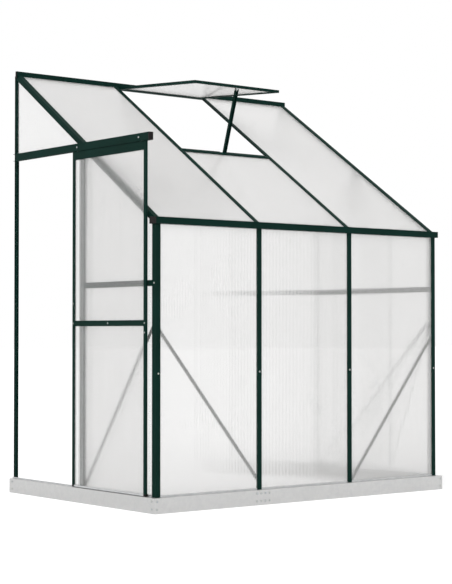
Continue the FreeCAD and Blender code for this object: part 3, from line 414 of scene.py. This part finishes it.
# %% Fluted sheet that blurs one way
def twin_wall_polycarbonate(name, across, swing, milky_share, glow_share, tint):
    bend_index, mirror_index = 1.4, 1.25
    material, tree = new_material(name)
    place = add(tree, "TexCoord").outputs["Object"]
    position = add(tree, "VectorMath", {0: place, 1: across}, operation="DOT_PRODUCT").outputs["Value"]
    phase = add(tree, "Math", {0: position, 1: 2 * math.pi / flute_pitch},
                operation="MULTIPLY").outputs["Value"]
    # clear part, with another way for the rays that look for a lamp
    clear = add(tree, "BsdfRefraction", {"Color": linear(tint), "Roughness": 0.0, "IOR": bend_index,
                                         "Normal": swung_normal(tree, across, position, phase, swing)})
    straight_on = add(tree, "BsdfTransparent", {"Color": linear("#f0f0f0")})
    lamp_ray = add(tree, "LightPath").outputs["Is Shadow Ray"]
    open_part = add(tree, "MixShader", {0: lamp_ray, 1: clear.outputs["BSDF"],
                                        2: straight_on.outputs["BSDF"]})
    # milky part and gloss
    body = add(tree, "MixShader", {0: milky_amount(tree, place, phase, milky_share),
                                   1: open_part.outputs["Shader"],
                                   2: milky_plastic(tree, glow_share)})
    shine = add(tree, "BsdfAnisotropic", {"Color": linear("#ffffff"), "Roughness": 0.12})
    mirror = add(tree, "Fresnel", {"IOR": mirror_index})
    sheet = add(tree, "MixShader", {0: mirror.outputs["Fac"], 1: body.outputs["Shader"],
                                    2: shine.outputs["BSDF"]})
    add(tree, "OutputMaterial", {"Surface": sheet.outputs["Shader"]})
    return material


# %% [markdown]
# ## Four kinds of sheet
# All sheets are the same plastic, but they meet the light at different angles, so each kind was matched to
# the photograph by itself. The front blurs most. The ends and the door are the clearest. The roof is seen at
# a flat angle and looks milkier, and hardly anything shows through the vent's sheet, which is seen from
# below. The flutes lie side by side along X in the front, the roof and the vent, and along Y in the ends.

# %% Make the kinds of sheet
sheet_front = twin_wall_polycarbonate(
    "twin_wall_polycarbonate_front", across=along_x, swing=(0.27, 0.37),
    milky_share=0.26, glow_share=0.25, tint="#fdfdfd")
sheet_end = twin_wall_polycarbonate(
    "twin_wall_polycarbonate_end", across=along_y, swing=(0.12, 0.16),
    milky_share=0.18, glow_share=0.5, tint="#fdfdfd")
sheet_roof = twin_wall_polycarbonate(
    "twin_wall_polycarbonate_roof", across=along_x, swing=(0.15, 0.2),
    milky_share=0.42, glow_share=0.5, tint="#fdfdfd")
sheet_vent = twin_wall_polycarbonate(
    "twin_wall_polycarbonate_vent", across=along_x, swing=(0.01, 0.02),
    milky_share=0.86, glow_share=0.35, tint="#f2f2f2")
for sheet in (sheet_front, sheet_end, sheet_roof, sheet_vent):
    print(sheet.name, "has", len(sheet.node_tree.nodes), "nodes")

# %% [markdown]
# ## Which node gets which finish
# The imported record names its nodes, and each one is a single material. The solids keep their shape and are
# only given the finish.

# %% Finish the frame
finish_of = {
    green: ["corner_post_left", "corner_post_right", "front_mullions", "door_jamb", "right_end_stud",
            "wall_post_left", "wall_post_right", "mid_rail_left", "mid_rails_right", "eave_gutter",
            "ridge_bar", "inner_rafters", "rafter_left", "rafter_right", "vent_sill", "door_header",
            "door_track", "door_stiles", "door_top_rail", "door_mid_rail", "vent_hinge_rail",
            "vent_front_rail", "vent_side_rails", "vent_stay", "front_braces", "end_braces"],
    steel: ["base_rail_left", "base_rail_right", "base_rail_front_left", "base_rail_front_right",
            "base_splice_plate", "base_brackets"],
    mill: ["sheet_sills", "door_floor_rail", "door_bottom_rail"],
    black: ["end_caps", "door_shoes"],
    zinc: ["base_bolts", "frame_screws", "door_screws", "door_hangers", "roller_axles",
           "vent_hinge_rod", "stay_bracket", "stay_peg"],
    nylon: ["roller_front", "roller_rear"],
}


def finish_node(name, material):
    piece = frame["nodes"][name]
    if not piece.material_slots:
        piece.data.materials.append(material)
    for slot in piece.material_slots:
        slot.material = material


for material, names in finish_of.items():
    for name in names:
        finish_node(name, material)
    print(material.name, "on", len(names), "nodes")

# %% [markdown]
# ## Broken edges
# No extruded, folded or moulded edge is a perfect knife edge, and a broken one catches the light. A Bevel
# modifier breaks every edge sharper than a limit by half a millimetre and leaves the mesh itself as it is.

# %% Break the sharp edges of bars, folded sheet and mouldings
edge_break = 0.5 * mm
sharper_than = math.radians(50)
sharp_edged = finish_of[green] + finish_of[steel] + finish_of[mill] + finish_of[black]
for name in sharp_edged:
    soften = frame["nodes"][name].modifiers.new("edge_break", "BEVEL")
    soften.width = edge_break
    soften.segments = 2
    soften.limit_method = "ANGLE"
    soften.angle_limit = sharper_than
    soften.harden_normals = True
print("edges broken on", len(sharp_edged), "nodes")

# %% [markdown]
# ## Fluted sheets
# The solids of the sheets are plain slabs. Each is copied and cut into strips half a flute wide, and every
# second cut is pressed in by a quarter of a millimetre on both skins, so that the skin dips between ribs as
# an extruded one does. Cutting a copy keeps each outline with its slopes, and the piece never grows past the
# solid that it stands for. Some nodes hold two slabs, so the skins are looked for slab by slab.


# %% Find the slabs in a mesh
def slabs_of(mesh, normal):
    """The corners of each separate slab, with the depths of its two skins along the normal."""
    slabs = []
    loose = set(mesh.verts)
    while loose:
        rim = {loose.pop()}
        slab = set(rim)
        while rim:
            rim = {edge.other_vert(vertex) for vertex in rim for edge in vertex.link_edges} - slab
            slab |= rim
        loose -= slab
        depths = [vertex.co.dot(normal) for vertex in slab]
        slabs.append((slab, min(depths), max(depths)))
    return slabs


# %% Cut a sheet into strips
weld_distance = 0.001 * mm
flat_within = math.radians(1)
cut_reach = 0.01 * mm


def cut_into_strips(mesh, across):
    """Cut the mesh at every half flute, and return where the first cut is and how many flutes fit."""
    bmesh.ops.remove_doubles(mesh, verts=mesh.verts, dist=weld_distance)
    bmesh.ops.dissolve_limit(mesh, angle_limit=flat_within, verts=mesh.verts, edges=mesh.edges)
    start = min(vertex.co.dot(across) for vertex in mesh.verts)
    end = max(vertex.co.dot(across) for vertex in mesh.verts)
    count = int((end - start) / flute_pitch)
    first = start + (end - start - count * flute_pitch) / 2
    for step in range(2 * count + 1):
        cut = across * (first + step * flute_pitch / 2)
        everything = mesh.verts[:] + mesh.edges[:] + mesh.faces[:]
        bmesh.ops.bisect_plane(mesh, geom=everything, plane_co=cut, plane_no=across, dist=cut_reach)
    return first, count


# %% Press the flutes and make the piece
dip = 0.25 * mm
skin_reach = 0.05 * mm
step_reach = 0.01


def press_flutes(mesh, across, normal, first):
    """Move the corners on every second cut towards the middle of the slab."""
    for slab, inner, outer in slabs_of(mesh, normal):
        for vertex in slab:
            steps = (vertex.co.dot(across) - first) / (flute_pitch / 2)
            if round(steps) % 2 == 0 or abs(steps - round(steps)) > step_reach:
                continue
            depth = vertex.co.dot(normal)
            if abs(depth - outer) < skin_reach:
                vertex.co -= normal * dip
            elif abs(depth - inner) < skin_reach:
                vertex.co += normal * dip
    bmesh.ops.recalc_face_normals(mesh, faces=mesh.faces)


def flute_sheet(name, material, across, normal):
    source = frame["nodes"][name]
    mesh = bmesh.new()
    mesh.from_mesh(source.data)
    first, count = cut_into_strips(mesh, across)
    press_flutes(mesh, across, normal, first)
    data = bpy.data.meshes.new(name + "_fluted")
    mesh.to_mesh(data)
    mesh.free()
    data.materials.append(material)
    piece = bpy.data.objects.new(name + "_fluted", data)
    scene.collection.objects.link(piece)
    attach(piece, source["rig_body"])
    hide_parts(name)
    print(name, "flutes", count, "faces", len(data.polygons))


# %% Make every sheet
def tilt_of(name):
    """The normal of a sheet that leans, from its largest face."""
    faces = frame["nodes"][name].data.polygons
    return max(faces, key=lambda face: face.area).normal.copy()


for name in ("front_sheet_left", "front_sheet_middle", "front_sheet_right"):
    flute_sheet(name, sheet_front, along_x, along_y)
for name in ("roof_sheet_left", "roof_sheet_lower", "roof_sheet_right"):
    flute_sheet(name, sheet_roof, along_x, tilt_of(name))
flute_sheet("vent_sheet", sheet_vent, along_x, tilt_of("vent_sheet"))
for name in ("left_end_sheets", "left_gable_sheet", "right_front_sheets", "right_rear_sheets",
             "door_sheet_lower", "door_sheet_upper"):
    flute_sheet(name, sheet_end, along_y, along_x)

# %% [markdown]
# ## Studio
# The photograph is cut out on white with almost no shadow. The room here is a white world and a pale floor.
# Rays that look, from the camera, in a mirror or through a sheet, meet full white. The light that falls on
# the object is softer than that, so the dark green keeps its depth.


# %% White world
def looks_of(tree, rays):
    """1 for a look from the camera, through a sheet or into a mirror, else 0."""
    bent = add(tree, "Math", {0: rays.outputs["Is Glossy Ray"], 1: rays.outputs["Is Transmission Ray"]},
               operation="MAXIMUM")
    looks = add(tree, "Math", {0: rays.outputs["Is Camera Ray"], 1: bent.outputs["Value"]},
                operation="MAXIMUM")
    return looks.outputs["Value"]


def white_world(light_strength, seen_strength):
    world = bpy.data.worlds.new("studio_world")
    scene.world = world
    world.use_nodes = True
    tree = world.node_tree
    tree.nodes.clear()
    light = add(tree, "Background", {"Color": linear("#ffffff"), "Strength": light_strength})
    seen = add(tree, "Background", {"Color": linear("#ffffff"), "Strength": seen_strength})
    mix = add(tree, "MixShader", {0: looks_of(tree, add(tree, "LightPath")),
                                  1: light.outputs["Background"], 2: seen.outputs["Background"]})
    add(tree, "OutputWorld", {"Surface": mix.outputs["Shader"]})


white_world(light_strength=0.7, seen_strength=1.0)
print("world", scene.world.name)

# %% [markdown]
# ## Floor
# The floor is matt paint, so it takes the object's soft shadow. A faint glow lifts it to white for rays that
# look: most of it for the camera, less through a sheet, least in a mirror.


# %% Pale floor
def pale_floor(size, camera_glow, sheet_glow, mirror_glow):
    material, tree = new_material("painted_studio_floor")
    rays = add(tree, "LightPath")
    paint = add(tree, "BsdfDiffuse", {"Color": linear("#f2f2f2")})
    bent_glow = add(tree, "MapRange", {"Value": rays.outputs["Is Transmission Ray"],
                                       "To Min": mirror_glow, "To Max": sheet_glow})
    strength = add(tree, "MapRange", {"Value": rays.outputs["Is Camera Ray"],
                                      "To Min": bent_glow.outputs["Result"], "To Max": camera_glow})
    glow = add(tree, "Emission", {"Color": linear("#ffffff"), "Strength": strength.outputs["Result"]})
    lifted = add(tree, "AddShader", {0: paint.outputs["BSDF"], 1: glow.outputs["Emission"]})
    mix = add(tree, "MixShader", {0: looks_of(tree, rays), 1: paint.outputs["BSDF"],
                                  2: lifted.outputs["Shader"]})
    add(tree, "OutputMaterial", {"Surface": mix.outputs["Shader"]})
    bpy.ops.mesh.primitive_plane_add(size=size, location=(0, 0, 0))
    floor = bpy.context.object
    floor.name = "studio_floor"
    floor.data.materials.append(material)
    return floor


floor = pale_floor(size=120, camera_glow=0.3, sheet_glow=0.19, mirror_glow=0.1)
print(floor.name, "is", round(floor.dimensions.x), "m wide")

# %% [markdown]
# ## Lamp
# One very wide sun from the left and front, like a big soft box, lights everything evenly and makes the left
# faces a little lighter, as they are in the photograph. It isn't shown in mirrors, where it would be a disc.


# %% One soft sun
def soft_sun(name, towards_lamp, spread, strength):
    data = bpy.data.lights.new(name, "SUN")
    data.angle = math.radians(spread)
    data.energy = strength
    lamp = bpy.data.objects.new(name, data)
    scene.collection.objects.link(lamp)
    lamp.visible_glossy = False
    lamp.rotation_mode = "QUATERNION"
    lamp.rotation_quaternion = Vector(towards_lamp).to_track_quat("Z", "Y")


soft_sun("key_left", towards_lamp=(-0.62, -0.45, 0.64), spread=50, strength=1.5)

# %% [markdown]
# ## Camera
# The camera stands to the left of the front, a little under a metre above the ground, and looks slightly
# up. These numbers were solved from corners of the base, posts and ridge that can be found in both the
# photograph and the model. The lens is long, so the uprights stay nearly parallel.

# %% Camera of the photograph
eye = (-5.35011, -6.71160, 0.85682)
tilt_from_down, heading = 91.4218, -38.483
camera = bpy.data.objects.new("photo_camera", bpy.data.cameras.new("photo_camera"))
scene.collection.objects.link(camera)
camera.location = eye
camera.rotation_euler = (math.radians(tilt_from_down), 0.0, math.radians(heading))
camera.data.sensor_width = 36.0
camera.data.lens = 98.02
camera.data.clip_end = 200.0
scene.camera = camera
scene.view_settings.view_transform = "Standard"
print("camera at", eye, "with a lens of", round(camera.data.lens, 2), "mm")
